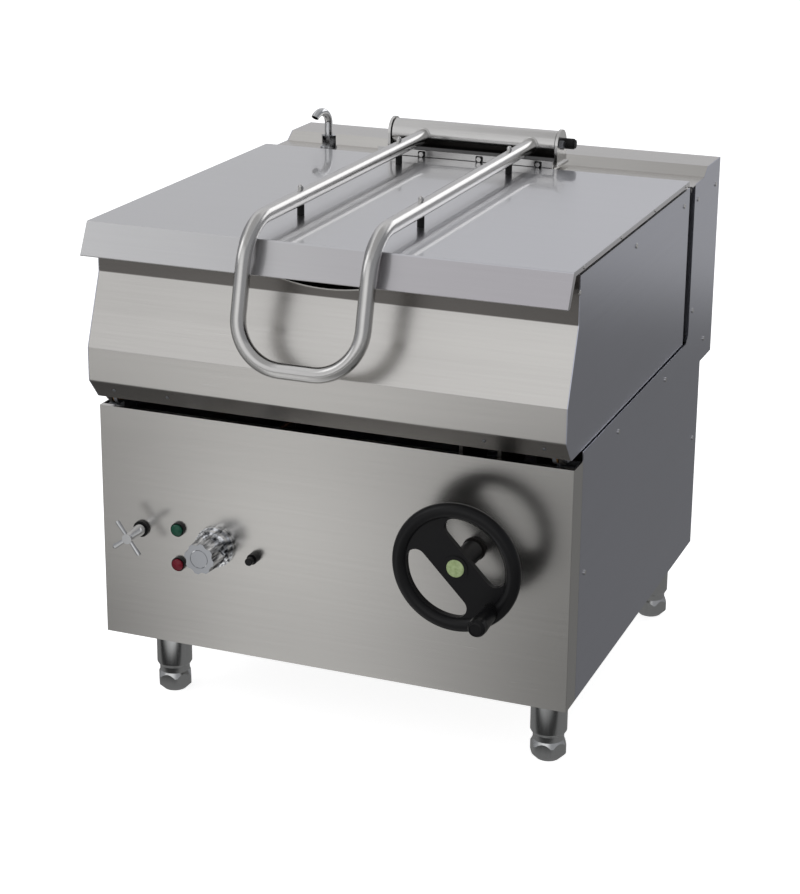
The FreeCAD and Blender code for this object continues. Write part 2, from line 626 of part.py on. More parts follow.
# Lid: top sheet with small side folds, sloping front skirt with its cheeks, and the inner liner.
front_fold = [(lid_back, lid_top - 8), (lid_back, lid_top), (lid_front, lid_top), (skirt_out, skirt_low),
              (skirt_out + 10, skirt_low)]
lid = folded(front_fold, sheet, -lid_half, lid_half)
lid = rounded(lid, [(lid_front, lid_top), (skirt_out, skirt_low)], 1.4)
fold_outline = [(lid_back, lid_top - sheet), (lid_front + 1, lid_top - sheet), (skirt_out + 1.5, skirt_low + sheet),
                (skirt_out + 12, skirt_low + sheet), (lid_front + 10, lid_top - lid_side),
                (lid_back, lid_top - lid_side)]
for name, s in sides:
    x0, x1 = across(s, lid_half - sheet, lid_half)
    lid = together(lid, plate(fold_outline, x0, x1))
post_y = (145.5, 565.5)
post_spots = [(x, y) for x in (arm_left, arm_right) for y in post_y]
for x, y in post_spots:
    lid = lid.cut(rod(x, y, lid_top - 3, Z, 3.2, 5))
save("lid_panel", lid)
liner_half = 388.0
liner = together(block(-liner_half, liner_half, 12, 628, pan_top, pan_top + 1.2),
                 block(-liner_half, liner_half, 12, 13.2, pan_top, lid_top - sheet),
                 block(-liner_half, liner_half, 626.8, 628, pan_top, lid_top - sheet),
                 block(-liner_half, -liner_half + 1.2, 12, 628, pan_top, lid_top - sheet),
                 block(liner_half - 1.2, liner_half, 12, 628, pan_top, lid_top - sheet))
save("lid_liner", liner)

handle_path = bent(
    [V(arm_left, hinge_y - 12, handle_height), V(arm_left, arm_corner, handle_height),
     V(arm_left, handle_out, handle_low), V(arm_right, handle_out, handle_low),
     V(arm_right, arm_corner, handle_height), V(arm_right, hinge_y - 12, handle_height)],
    [80, 75, 75, 80])
handle = pipe(handle_path, handle_radius, handle_radius - 1.6)
handle = handle.cut(rod(hinge_x - 200, hinge_y, hinge_z, X, barrel_radius + 0.3, 400))
for x, y in post_spots:
    handle = handle.cut(rod(x, y, handle_height - 20, Z, 3.2, 40))
save("lid_handle", handle)
posts, bolts = [], []
for x, y in post_spots:
    post = ring(x, y, lid_top, Z, 5.8, 3.2, handle_height - lid_top)
    posts.append(post.cut(rod(x, y - 20, handle_height, Y, handle_radius + 0.2, 40)))
    head = handle_height + handle_radius
    bolts.append(together(rod(x, y, lid_top - 6, Z, 3, head - lid_top + 6), hexagon(x, y, head, Z, 8.5, 4.5),
                          Part.makeSphere(3.8, V(x, y, head + 4.5))))
save("lid_posts", Part.makeCompound(posts))
save("lid_bolts", Part.makeCompound(bolts))

# Hinge: sprung barrel that turns with the arms, on a shaft held by two end plates on the pan.
barrel = ring(hinge_x - barrel_half, hinge_y, hinge_z, X, barrel_radius, barrel_radius - 2.5, 2 * barrel_half)
for s in (-1, 1):
    x0 = hinge_x + (barrel_half - 9 if s > 0 else -barrel_half + 1)
    barrel = together(barrel, ring(x0, hinge_y, hinge_z, X, barrel_radius - 2, hinge_shaft + 0.08, 8))
save("hinge_barrel", barrel)
web_front = pan_back
strip_half = barrel_half + 11
base_strip = together(
    block(hinge_x - strip_half, hinge_x + strip_half, web_front, web_front + 4, pan_top - 86, strip_top + 14),
    block(hinge_x - strip_half, hinge_x + strip_half, web_front, hinge_y + 28, strip_top - 4, strip_top))
bolt_spots = [15 + 109 * k for k in (-1, 0, 1)]
for x in bolt_spots:
    base_strip = base_strip.cut(rod(x, web_front - 2, strip_top + 7, Y, 3.2, 8))
rail_bolts = [together(hexagon(x, web_front - 3.5, strip_top + 7, Y, 8, 3.5),
                       rod(x, web_front, strip_top + 7, Y, 3, 8)) for x in bolt_spots]
save("bracket_bolts", Part.makeCompound(rail_bolts))
plate_x = barrel_half + 2
for name, s in sides:
    x0, x1 = across(s, plate_x, plate_x + 5)
    cheek = block(hinge_x + x0, hinge_x + x1, hinge_y - cheek_radius, hinge_y + cheek_radius, strip_top, hinge_z)
    cheek = together(cheek, rod(hinge_x + x0, hinge_y, hinge_z, X, cheek_radius, 5))
    base_strip = together(base_strip, cheek)
save("hinge_bracket", base_strip.cut(rod(hinge_x - 200, hinge_y, hinge_z, X, hinge_shaft, 400)))
shaft_half = plate_x + 5
save("hinge_shaft", together(rod(hinge_x - shaft_half, hinge_y, hinge_z, X, hinge_shaft, 2 * shaft_half),
                             hexagon(hinge_x + shaft_half, hinge_y, hinge_z, X, 14, 4),
                             hexagon(hinge_x - shaft_half - 4, hinge_y, hinge_z, X, 14, 4)))
coil_radius = hinge_shaft + 2.3
helix = Part.makeHelix(42, 210, coil_radius)
section = Part.Wire(Part.makeCircle(2, V(coil_radius, 0, 0), Y))
spring = Part.Wire(helix.Edges).makePipeShell([section], True, True, 1)
spring.rotate(V(0, 0, 0), Y, 90)
spring.translate(V(hinge_x - 105, hinge_y, hinge_z))
save("lid_spring", spring)
stop_x = hinge_x + plate_x + 5
stop = together(rod(stop_x, hinge_y + 17, hinge_z, X, 9.5, 17), rod(stop_x + 17, hinge_y + 17, hinge_z, X, 7.5, 3))
save("hinge_stop", stop)

# Small dome-headed screws of the cabinet sides.
cabinet_screws = []
screw_spots = [(column_back - 28, column_top - 44), (column_front + 22, column_top - 45),
               (column_front + 22, side_top + 52), (cabinet_back + 17, column_under + 38),
               (column_front - 147, side_top - 26), (panel_depth + 191, side_top - 29),
               (cabinet_back - 27, 353), (panel_depth + 28, 347)]
for s in (-1, 1):
    heading = X * s
    for y, z in screw_spots:
        cabinet_screws.append(rod(s * half_width, y, z, heading, 4, 1.6))
save("cabinet_screws", Part.makeCompound(cabinet_screws))
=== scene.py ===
import math

import bmesh
import bpy
from mathutils import Matrix, Vector


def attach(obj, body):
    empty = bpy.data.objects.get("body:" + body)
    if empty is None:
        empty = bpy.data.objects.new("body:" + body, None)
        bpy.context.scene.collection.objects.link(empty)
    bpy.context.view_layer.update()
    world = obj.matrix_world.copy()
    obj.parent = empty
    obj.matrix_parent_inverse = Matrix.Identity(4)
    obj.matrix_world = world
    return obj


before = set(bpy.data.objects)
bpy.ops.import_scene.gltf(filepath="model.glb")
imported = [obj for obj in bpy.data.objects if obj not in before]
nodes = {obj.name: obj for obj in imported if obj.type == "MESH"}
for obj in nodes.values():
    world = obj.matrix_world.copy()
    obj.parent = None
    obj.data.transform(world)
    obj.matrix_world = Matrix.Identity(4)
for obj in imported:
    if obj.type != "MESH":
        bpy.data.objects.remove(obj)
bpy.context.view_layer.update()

print("frame loaded:", len(nodes), "nodes")


class Sock:
    # one output socket, so that masks can be written as plain sums
    def __init__(self, graph, socket):
        self.graph = graph
        self.socket = socket

    def math(self, operation, *others):
        values = {i + 1: other for i, other in enumerate(others)}
        return self.graph.node("ShaderNodeMath", {"operation": operation}, {0: self, **values})

    def __add__(self, other):
        return self.math("ADD", other)

    def __radd__(self, other):
        return self.math("ADD", other)

    def __sub__(self, other):
        return self.math("SUBTRACT", other)

    def __rsub__(self, other):
        return (self * -1.0) + other

    def __mul__(self, other):
        return self.math("MULTIPLY", other)

    def __rmul__(self, other):
        return self.math("MULTIPLY", other)

    def __truediv__(self, other):
        return self.math("DIVIDE", other)

    def centred(self):
        return self - 0.5  # noise lies about a half, and so about nothing here

    def clamp(self):
        return self.graph.node("ShaderNodeClamp", {}, {"Value": self})

    def out(self, name):
        return Sock(self.graph, self.socket.node.outputs[name])


class Graph:
    # builds one node tree; node() is the only way that nodes are made
    def __init__(self, owner):
        owner.use_nodes = True
        self.tree = owner.node_tree
        self.tree.nodes.clear()

    def node(self, kind, settings=None, values=None):
        made = self.tree.nodes.new(kind)
        for key, value in (settings or {}).items():
            if key == "stops":
                self.setStops(made.color_ramp, value)
            else:
                setattr(made, key, value)
        for key, value in (values or {}).items():
            self.feed(made.inputs[key], value)
        outputs = [o for o in made.outputs if o.enabled]
        return Sock(self, outputs[0]) if outputs else made

    def feed(self, socket, value):
        if isinstance(value, Sock):
            self.tree.links.new(value.socket, socket)
        else:
            socket.default_value = value

    def setStops(self, ramp, stops):
        while len(ramp.elements) > 1:
            ramp.elements.remove(ramp.elements[-1])
        ramp.elements[0].position = stops[0][0]
        ramp.elements[0].color = stops[0][1]
        for place, colour in stops[1:]:
            ramp.elements.new(place).color = colour

    def ramp(self, value, stops):
        return self.node("ShaderNodeValToRGB", {"stops": stops}, {"Fac": value})

    def objectSpot(self, middle=(0, 0, 0), scale=(1, 1, 1)):
        spot = self.node("ShaderNodeTexCoord").out("Object")
        offset = [-m * s for m, s in zip(middle, scale)]
        return self.node("ShaderNodeMapping", {}, {"Vector": spot, "Location": offset, "Scale": scale})

    def axes(self, vector):
        return self.node("ShaderNodeSeparateXYZ", {}, {"Vector": vector})

    def noise(self, vector, scale, detail=2.0, rough=0.5):
        return self.node("ShaderNodeTexNoise", {},
                         {"Vector": vector, "Scale": scale, "Detail": detail, "Roughness": rough})

    def spread(self, value, low, high):
        # a smooth step from 0 at low to 1 at high
        return self.node("ShaderNodeMapRange", {"interpolation_type": "SMOOTHSTEP"},
                         {"Value": value, "From Min": low, "From Max": high})

    def blend(self, factor, first, second):
        mix = self.node("ShaderNodeMix", {"data_type": "RGBA"}, {"Factor": factor})
        made = mix.socket.node
        self.feed(made.inputs[6], first)   # inputs 6 and 7 and output 2 are the node's colour ones
        self.feed(made.inputs[7], second)
        return Sock(self, made.outputs[2])

    def shaded(self, shade, dark, light):
        # shade lies about 0, where the colour is half way
        return self.blend((shade + 0.5).clamp(), dark, light)

    def bump(self, height, strength, distance):
        return self.node("ShaderNodeBump", {}, {"Height": height, "Strength": strength, "Distance": distance})

    def finish(self, values):
        shader = self.node("ShaderNodeBsdfPrincipled", {}, values)
        self.node("ShaderNodeOutputMaterial", {}, {"Surface": shader})


def tone(red, green, blue):
    # display values from 0 to 255, as a colour picker shows them, to linear light
    def one(v):
        v = v / 255
        return v / 12.92 if v <= 0.04045 else ((v + 0.055) / 1.055) ** 2.4
    return (one(red), one(green), one(blue), 1.0)


def newFinish(name):
    material = bpy.data.materials.new(name)
    return material, Graph(material)


scratchDepth = 0.0002  # metres, how deep a bump node takes scratches in metal
grainDepth = 0.0003    # the same for the grain of moulded plastic


def brushedSteel(name, look):
    # sheet brushed along one axis, 0 for x, 1 for y and 2 for z
    material, g = newFinish(name)
    fine = [look["fine"]] * 3
    coarse = [look["coarse"]] * 3
    fine[look["along"]] = look["stretch"]
    coarse[look["along"]] = look["stretch"] * look["coarseStretch"]
    lines = g.noise(g.objectSpot(scale=fine), 1.0, detail=3.0, rough=0.7)
    bands = g.noise(g.objectSpot(scale=coarse), 1.0)
    clouds = g.noise(g.objectSpot(), look["cloud"], detail=3.0, rough=0.55)
    shade = (lines.centred() * look["lineShade"] + bands.centred() * look["bandShade"]
             + clouds.centred() * look["cloudShade"])
    colour = g.shaded(shade, look["dark"], look["light"])
    spot = g.axes(g.objectSpot())
    if "under" in look:
        # the fold below and the rim above lie in the shade of their neighbours
        low, high, share = look["under"]
        colour = g.blend((1 - g.spread(spot.out("Z"), low, high)) * share, colour, look["shadeTone"])
        low, high, share = look["rim"]
        colour = g.blend(g.spread(spot.out("Z"), low, high) * share, colour, look["shadeTone"])
    if "farDark" in look:
        # painted reflection and shade: slightly blue on the right of the lid's top, warmer and darker on the right of
        # its skirt
        far = g.spread(spot.out("X"), *look["farX"])
        top = g.spread(spot.out("Z"), *look["topZ"])
        dark = g.blend(top, look["skirtDark"], look["farDark"])
        light = g.blend(top, look["skirtLight"], look["farLight"])
        colour = g.blend(far, colour, g.shaded(shade, dark, light))
    rough = lines.centred() * look["lineRough"] + clouds.centred() * look["cloudRough"] + look["rough"]
    height = lines * look["lineBump"] + bands * look["bandBump"]
    g.finish({"Metallic": 1.0, "Anisotropic": look["anisotropic"], "Coat Weight": look["coat"],
              "Coat Roughness": look["coatRough"], "Coat IOR": look["coatIndex"], "Base Color": colour,
              "Roughness": rough.clamp(), "Normal": g.bump(height, look["bump"], scratchDepth)})
    return material


def wornMetal(g, look):
    # dull clouds, faint scratches and the colour that the two give
    clouds = g.noise(g.objectSpot(), look["cloud"], detail=3.0, rough=0.6)
    scratch = g.noise(g.objectSpot(scale=look["scratchScale"]), 1.0, detail=3.0, rough=0.65)
    shade = clouds.centred() * look["cloudShade"] + scratch.centred() * look["scratchShade"]
    return clouds, scratch, g.shaded(shade, look["dark"], look["light"])


def plainMetal(name, look):
    # turned, cast or polished metal
    material, g = newFinish(name)
    clouds, scratch, colour = wornMetal(g, look)
    rough = clouds.centred() * look["cloudRough"] + scratch.centred() * look["scratchRough"] + look["rough"]
    g.finish({"Metallic": look["metallic"], "Base Color": colour, "Roughness": rough.clamp(),
              "Normal": g.bump(scratch, look["bump"], scratchDepth)})
    return material


def chromeWithPaintedReflections(name, look):
    # chrome on many small facets, with painted reflections: patches of bright and dark in its colour, and one plain
    # face to the front
    material, g = newFinish(name)
    paintedReflections = g.noise(g.objectSpot(scale=look["patchScale"]), 1.0, detail=1.5)
    fine = g.noise(g.objectSpot(), look["fine"])
    # painted reflections: bright and dark patches in the colour
    shade = paintedReflections.centred() * look["patchShade"] + fine.centred() * look["fineShade"]
    colour = g.shaded(shade, look["dark"], look["light"])
    front = 0 - g.axes(g.objectSpot()).out("Y")
    colour = g.blend(g.spread(front, look["faceFrom"], look["faceTo"]), colour, look["faceTone"])
    rough = fine.centred() * look["fineRough"] + look["rough"]
    g.finish({"Metallic": 1.0, "Base Color": colour, "Roughness": rough.clamp(),
              "Normal": g.bump(fine, look["bump"], scratchDepth)})
    return material


def bracketSteel(name, look):
    # polished sheet, with painted shadow: dark in the space under the barrel, where the barrel's shade falls
    material, g = newFinish(name)
    clouds, scratch, colour = wornMetal(g, look)
    spot = g.axes(g.objectSpot(middle=look["middle"]))
    behind = g.spread(spot.out("Y"), 0.0, look["softBehind"])
    between = 1 - g.spread(spot.out("X").math("ABSOLUTE"), look["half"], look["half"] + look["softSide"])
    # painted shadow: darker in the space under the barrel, between the cheeks
    dark = behind * between
    colour = g.blend(dark, colour, look["greaseTone"])
    rough = clouds.centred() * look["cloudRough"] + look["rough"] + dark * look["greaseRough"]
    g.finish({"Metallic": look["metallic"], "Base Color": colour, "Roughness": rough.clamp(),
              "Normal": g.bump(scratch, look["bump"], scratchDepth)})
    return material


def mouldedPlastic(name, look):
    material, g = newFinish(name)
    grain = g.noise(g.objectSpot(), look["grain"], rough=0.6)
    clouds = g.noise(g.objectSpot(), look["cloud"], detail=3.0, rough=0.55)
    shade = clouds.centred() * look["cloudShade"] + grain.centred() * look["grainShade"]
    rough = clouds.centred() * look["cloudRough"] + look["rough"]
    g.finish({"IOR": look["index"], "Specular IOR Level": look["shine"],
              "Base Color": g.shaded(shade, look["dark"], look["light"]), "Roughness": rough.clamp(),
              "Normal": g.bump(grain, look["bump"], grainDepth)})
    return material


def lampLens(name, look):
    # coloured cap, darker towards its rim
    material, g = newFinish(name)
    facing = g.node("ShaderNodeLayerWeight", {}, {"Blend": look["edge"]}).out("Facing")
    flecks = g.noise(g.objectSpot(), look["fleck"])
    rim = facing * look["rimShare"] + flecks.centred() * look["fleckShade"]
    g.finish({"Roughness": look["rough"], "IOR": look["index"], "Specular IOR Level": look["shine"],
              "Base Color": g.blend(rim.clamp(), look["middle"], look["rim"])})
    return material


frontSheet = {
    "along": 0, "fine": 1500.0, "coarse": 160.0, "stretch": 7.0, "coarseStretch": 0.35, "cloud": 3.0,
    "lineShade": 0.5, "bandShade": 0.25, "cloudShade": 0.4, "dark": tone(196, 194, 191), "light": tone(220, 218, 214),
    "rough": 0.25, "lineRough": 0.08, "cloudRough": 0.06, "anisotropic": 0.35,
    "bump": 0.02, "lineBump": 0.7, "bandBump": 0.3, "coat": 0.0, "coatRough": 0.05, "coatIndex": 1.9,
}
coverSheet = {
    **frontSheet, "shadeTone": tone(70, 63, 59),
    "under": (0.586, 0.5925, 0.62), "rim": (0.7585, 0.7605, 0.72),  # from z, to z, share of the shade
}
# painted shade: the front's steel made darker and bluer for the sides and back; it is also brushed along y
sideSheet = {**frontSheet, "along": 1, "dark": tone(184, 186, 196), "light": tone(206, 208, 220), "rough": 0.24}
lidSheet = {
    **frontSheet, "lineShade": 0.3, "bandShade": 0.15, "dark": tone(180, 180, 181), "light": tone(206, 206, 207),
    "rough": 0.3, "lineRough": 0.06, "cloudRough": 0.04, "bump": 0.015, "anisotropic": 0.0, "coat": 1.0,
    # painted reflection on the right of the lid's top, painted shade on the right of its skirt
    "farX": (-0.3, 0.35), "farDark": tone(183, 184, 190), "farLight": tone(209, 210, 216),
    "topZ": (0.8450, 0.8474), "skirtDark": tone(162, 159, 163), "skirtLight": tone(188, 185, 190),
}
innerSheet = {**frontSheet, "rough": 0.36, "anisotropic": 0.2}
tubeSheet = {**frontSheet, "along": 2, "fine": 900.0, "dark": tone(196, 197, 197), "light": tone(228, 229, 229),
             "rough": 0.2, "anisotropic": 0.0}
polished = {
    "cloud": 14.0, "scratchScale": (60, 900, 900), "cloudShade": 0.35, "scratchShade": 0.35,
    "dark": tone(186, 185, 184), "light": tone(222, 221, 219), "rough": 0.2, "cloudRough": 0.06,
    "scratchRough": 0.07, "bump": 0.03, "metallic": 1.0,
}
mirrorChrome = {**polished, "scratchScale": (500, 500, 500), "dark": tone(196, 197, 199), "light": tone(230, 231, 232),
                "rough": 0.07, "cloudRough": 0.04, "scratchRough": 0.03, "bump": 0.012}
# the dark tone under the barrel is painted shadow
bracketSheet = {**polished, "middle": (-0.014, 0.2995, 0.0), "half": 0.1545, "softBehind": 0.001, "softSide": 0.0008,
                "greaseTone": tone(38, 36, 35), "greaseRough": 0.3}
castZinc = {**polished, "dark": tone(120, 122, 126), "light": tone(160, 162, 166), "rough": 0.42, "cloud": 30.0}
oiledSteel = {**castZinc, "dark": tone(44, 43, 42), "light": tone(82, 80, 77), "rough": 0.46, "metallic": 0.8}
elementCoat = {**castZinc, "dark": tone(70, 72, 70), "light": tone(110, 110, 106), "rough": 0.5}
springWire = {**castZinc, "dark": tone(90, 92, 96), "light": tone(140, 142, 146), "rough": 0.3}
castBronze = {**castZinc, "dark": tone(140, 104, 62), "light": tone(190, 148, 92), "rough": 0.38}
turnedBrass = {**castBronze, "dark": tone(170, 140, 70), "light": tone(214, 186, 112), "rough": 0.28}
drawnCopper = {**castBronze, "dark": tone(84, 50, 36), "light": tone(132, 84, 62), "rough": 0.42}
# the patches' dark and light tones are painted reflections
knobChrome = {
    "patchScale": (150, 40, 150), "patchShade": 3.0, "fine": 500.0, "fineShade": 0.5,
    "dark": tone(70, 72, 75), "light": tone(240, 241, 243), "rough": 0.1, "fineRough": 0.06, "bump": 0.02,
    "faceFrom": 0.4045, "faceTo": 0.4055, "faceTone": tone(164, 166, 170),
}
# the nut's nearly black and bright patches are painted reflections too
nutChrome = {**knobChrome, "patchScale": (90, 90, 60), "dark": tone(24, 25, 27), "light": tone(206, 208, 211),
             "faceFrom": 5.0, "faceTo": 6.0}  # so far out that the nut has no plain face
blackMould = {
    "grain": 1400.0, "cloud": 25.0, "cloudShade": 0.5, "grainShade": 0.3, "dark": tone(14, 14, 15),
    "light": tone(24, 24, 26), "rough": 0.34, "cloudRough": 0.16, "bump": 0.12, "shine": 0.24, "index": 1.5,
}
greyMould = {**blackMould, "dark": tone(110, 112, 113), "light": tone(146, 148, 149), "rough": 0.5}
rubberSkin = {**blackMould, "dark": tone(20, 20, 20), "light": tone(38, 38, 38), "rough": 0.6, "bump": 0.2}
paleGreenCap = {**blackMould, "cloud": 160.0, "cloudShade": 1.6, "dark": tone(150, 172, 116),
                "light": tone(206, 222, 170), "rough": 0.35, "bump": 0.08}
greenLens = {"middle": tone(20, 88, 66), "rim": tone(8, 34, 27), "edge": 0.4, "rimShare": 0.8, "fleck": 900.0,
             "fleckShade": 0.3, "rough": 0.16, "index": 1.49, "shine": 0.35}
redLens = {**greenLens, "middle": tone(128, 12, 38), "rim": tone(48, 6, 18)}

recipes = [
    (brushedSteel, {"frontSheet": frontSheet, "coverSheet": coverSheet, "sideSheet": sideSheet, "lidSheet": lidSheet,
                    "innerSheet": innerSheet, "tubeSheet": tubeSheet}),
    (plainMetal, {"polished": polished, "mirrorChrome": mirrorChrome, "castZinc": castZinc, "oiledSteel": oiledSteel,
                  "elementCoat": elementCoat, "springWire": springWire, "castBronze": castBronze,
                  "turnedBrass": turnedBrass, "drawnCopper": drawnCopper}),
    (bracketSteel, {"bracketSheet": bracketSheet}),
    (chromeWithPaintedReflections, {"knobChrome": knobChrome, "nutChrome": nutChrome}),
    (mouldedPlastic, {"blackMould": blackMould, "greyMould": greyMould, "rubberSkin": rubberSkin,
                      "paleGreenCap": paleGreenCap}),
    (lampLens, {"greenLens": greenLens, "redLens": redLens}),
]
finishes = {name: recipe(name, look) for recipe, looks in recipes for name, look in looks.items()}
print("finishes made:", len(finishes))

slotFinish = {
    "brushed_stainless": "frontSheet", "polished_stainless": "polished", "chrome": "mirrorChrome",
    "foot_steel": "tubeSheet", "zinc_steel": "castZinc", "element_steel": "elementCoat",
    "spring_steel": "springWire", "bronze": "castBronze", "brass": "turnedBrass", "copper_pipe": "drawnCopper",
    "black_plastic": "blackMould", "grey_plastic": "greyMould", "black_rubber": "rubberSkin",
    "green_cap": "paleGreenCap", "green_lens": "greenLens", "red_lens": "redLens",
}
# nodes whose finish differs from that of their slot
nodeFinish = {
    "side_panel_left": "sideSheet", "side_panel_right": "sideSheet", "pan_side_covers": "sideSheet",
    "lid_panel": "lidSheet", "lid_liner": "innerSheet", "vessel": "innerSheet", "pan_tray": "innerSheet",
    "rear_skins": "sideSheet", "leg_tubes": "tubeSheet", "bottom_panel": "innerSheet",
    "pan_front_cover": "coverSheet", "hinge_bracket": "bracketSheet", "thermostat_knob": "knobChrome",
    "spout_nut": "nutChrome", "cam_plates": "oiledSteel", "spindle_bearings": "oiledSteel",
    "pivot_ears": "oiledSteel", "guide_rod": "oiledSteel",
}
for name, piece in nodes.items():
    for holder in piece.material_slots:
        slotName = holder.material.name.split(".")[0]
        holder.material = finishes[nodeFinish.get(name, slotFinish[slotName])]
print("finishes given to the nodes")


smoothAngle = math.radians(35)
facesUp = 0.9    # least z of a normal that faces up
liesFlat = 0.99  # and of one that is level, as the ring of a bevel is not


def nothingSelected():
    bpy.ops.object.select_all(action="DESELECT")


def onlySelected(pieces):
    nothingSelected()
    for piece in pieces:
        piece.select_set(True)
    bpy.context.view_layer.objects.active = pieces[0]


def pickFaces(piece, wanted):
    # in edit mode: selects the faces that wanted() names, and no others
    bpy.ops.mesh.select_mode(type="FACE")
    bpy.ops.mesh.select_all(action="DESELECT")
    shape = bmesh.from_edit_mesh(piece.data)
    for face in shape.faces:
        face.select_set(wanted(face))
    bmesh.update_edit_mesh(piece.data)


def pickEdges(piece, wanted):
    bpy.ops.mesh.select_mode(type="EDGE")
    bpy.ops.mesh.select_all(action="DESELECT")
    shape = bmesh.from_edit_mesh(piece.data)
    for edge in shape.edges:
        edge.select_set(wanted(edge))
    bmesh.update_edit_mesh(piece.data)


def settled(piece, name, finish, body):
    # place and turn go into the mesh, then the piece gets its finish and rides on its body
    onlySelected([piece])
    bpy.ops.object.transform_apply(location=True, rotation=True, scale=True)
    bpy.ops.object.shade_smooth_by_angle(angle=smoothAngle)
    piece.name = name
    piece.data.name = name
    piece.data.materials.clear()
    piece.data.materials.append(finishes[finish])
    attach(piece, body)
    print("made:", name)


def joined(pieces):
    onlySelected(pieces)
    bpy.ops.object.join()
    return bpy.context.object


def copiedTo(first, spots):
    # one copy with its own mesh at each (place, way it faces), joined to one piece; the first is removed
    copies = []
    for place, way in spots:
        onlySelected([first])
        bpy.ops.object.duplicate(linked=False)
        copy = bpy.context.object
        copy.location = place
        copy.rotation_euler = Vector(way).to_track_quat("Z", "Y").to_euler()
        copies.append(copy)
    onlySelected([first])
    bpy.ops.object.delete()
    return joined(copies)


def screwHead(look):
    # low round head with a sunk middle, its seat on z = 0
    nothingSelected()
    bpy.ops.mesh.primitive_cylinder_add(vertices=look["sides"], radius=look["radius"],
                                        depth=look["height"] + look["sunk"], location=(0, 0, 0))
    head = bpy.context.object
    bpy.ops.object.mode_set(mode="EDIT")
    bpy.ops.mesh.select_all(action="SELECT")
    bpy.ops.transform.translate(value=(0, 0, (look["height"] - look["sunk"]) / 2))
    pickFaces(head, lambda face: face.normal.z > facesUp)
    bpy.ops.mesh.bevel(offset=look["rim"], segments=look["rimSteps"], affect="EDGES")
    pickFaces(head, lambda face: face.normal.z > liesFlat)
    bpy.ops.mesh.inset(thickness=look["radius"] - look["rim"] - look["socket"])
    bpy.ops.mesh.extrude_region_move(TRANSFORM_OT_translate={"value": (0, 0, -look["depth"])})
    bpy.ops.transform.resize(value=(look["taper"], look["taper"], 1.0))
    bpy.ops.object.mode_set(mode="OBJECT")
    return head


def bothSides(look, rows):
    # a place at each y on the left sheet and then on the right one, facing outwards
    return [((side * look["x"], y, look["z"]), (side, 0, 0)) for side in (-1, 1) for y in rows]


# screws of the pan's side covers
panScrews = {"sides": 24, "radius": 0.0042, "height": 0.0016, "sunk": 0.0003, "rim": 0.0008, "rimSteps": 3,
             "socket": 0.0018, "depth": 0.0011, "taper": 0.8, "x": 0.3975, "rows": (-0.341, -0.038, 0.261), "z": 0.811}
settled(copiedTo(screwHead(panScrews), bothSides(panScrews, panScrews["rows"])),
        "pan_screws", "polished", "pan")

# smaller ones in the lid's side folds
lidScrews = {**panScrews, "radius": 0.0029, "height": 0.0012, "rim": 0.0006, "socket": 0.0012, "depth": 0.0008,
             "x": 0.397, "firstY": -0.320, "pitch": 0.196, "count": 4, "z": 0.844}
rows = [lidScrews["firstY"] + lidScrews["pitch"] * k for k in range(lidScrews["count"])]
settled(copiedTo(screwHead(lidScrews), bothSides(lidScrews, rows)),
        "lid_screws", "polished", "lid")

# and in the fold under the pan's front
foldScrews = {**lidScrews, "xs": (-0.3595, -0.2649, 0.2649, 0.3595), "y": -0.3663, "z": 0.5740,
              "way": (0, -0.772, -0.636)}
spots = [((x, foldScrews["y"], foldScrews["z"]), foldScrews["way"]) for x in foldScrews["xs"]]
settled(copiedTo(screwHead(foldScrews), spots), "chamfer_screws", "castZinc", "pan")


def weldBead(look, x):
    # bead of weld where one arm of the handle meets the barrel
    nothingSelected()
    bpy.ops.mesh.primitive_circle_add(vertices=look["corners"], radius=look["radius"],
                                      location=(x, look["start"], look["height"]), rotation=(math.pi / 2, 0, 0))
    bead = bpy.context.object
    bpy.ops.object.transform_apply(location=True, rotation=True, scale=True)
    wrap = bead.modifiers.new("ontoBarrel", "SHRINKWRAP")
    wrap.target = nodes["hinge_barrel"]
    wrap.wrap_method = "PROJECT"
    wrap.use_project_y = True
    wrap.use_positive_direction = True
    wrap.use_negative_direction = False
    bpy.ops.object.modifier_apply(modifier=wrap.name)
    bpy.ops.object.convert(target="CURVE")
    bpy.context.object.data.bevel_depth = look["bead"]
    bpy.context.object.data.bevel_resolution = look["rounding"]
    bpy.ops.object.convert(target="MESH")
    return bpy.context.object


weld = {"corners": 48, "radius": 0.0131, "bead": 0.0018, "rounding": 3, "start": 0.30, "height": 0.8765,
        "arms": (-0.108, 0.0955)}
settled(joined([weldBead(weld, x) for x in weld["arms"]]), "weld_beads", "polished", "lid")


def slotPlate(look):
    # dark dished pocket round one bolt of the hinge bracket, open side to z
    nothingSelected()
    bpy.ops.mesh.primitive_cube_add(size=1.0, scale=(look["width"], look["tall"], look["thick"]))
    pocket = bpy.context.object
    bpy.ops.object.transform_apply(location=True, rotation=True, scale=True)
    bpy.ops.object.mode_set(mode="EDIT")
    pickEdges(pocket, lambda edge: abs(edge.verts[0].co.z - edge.verts[1].co.z) > look["thick"] / 2)
    bpy.ops.mesh.bevel(offset=look["corner"], segments=look["cornerSteps"], affect="EDGES")
    pickFaces(pocket, lambda face: face.normal.z > facesUp)
    bpy.ops.mesh.inset(thickness=look["rim"])
    bpy.ops.mesh.extrude_region_move(TRANSFORM_OT_translate={"value": (0, 0, -look["depth"])})
    bpy.ops.object.mode_set(mode="OBJECT")
    return pocket


boltPockets = {"width": 0.0135, "tall": 0.0100, "thick": 0.0008, "corner": 0.0022, "cornerSteps": 4, "rim": 0.0008,
               "depth": 0.0004, "xs": (-0.094, 0.015, 0.124), "y": 0.2958, "z": 0.8535}
spots = [((x, boltPockets["y"], boltPockets["z"]), (0, -1, 0)) for x in boltPockets["xs"]]
settled(copiedTo(slotPlate(boltPockets), spots), "bolt_pockets", "rubberSkin", "pan")


def plainGrey(level):
    return (level, level, level * 1.01, 1)


def greyStops(*stops):
    return [(place, plainGrey(level)) for place, level in stops]


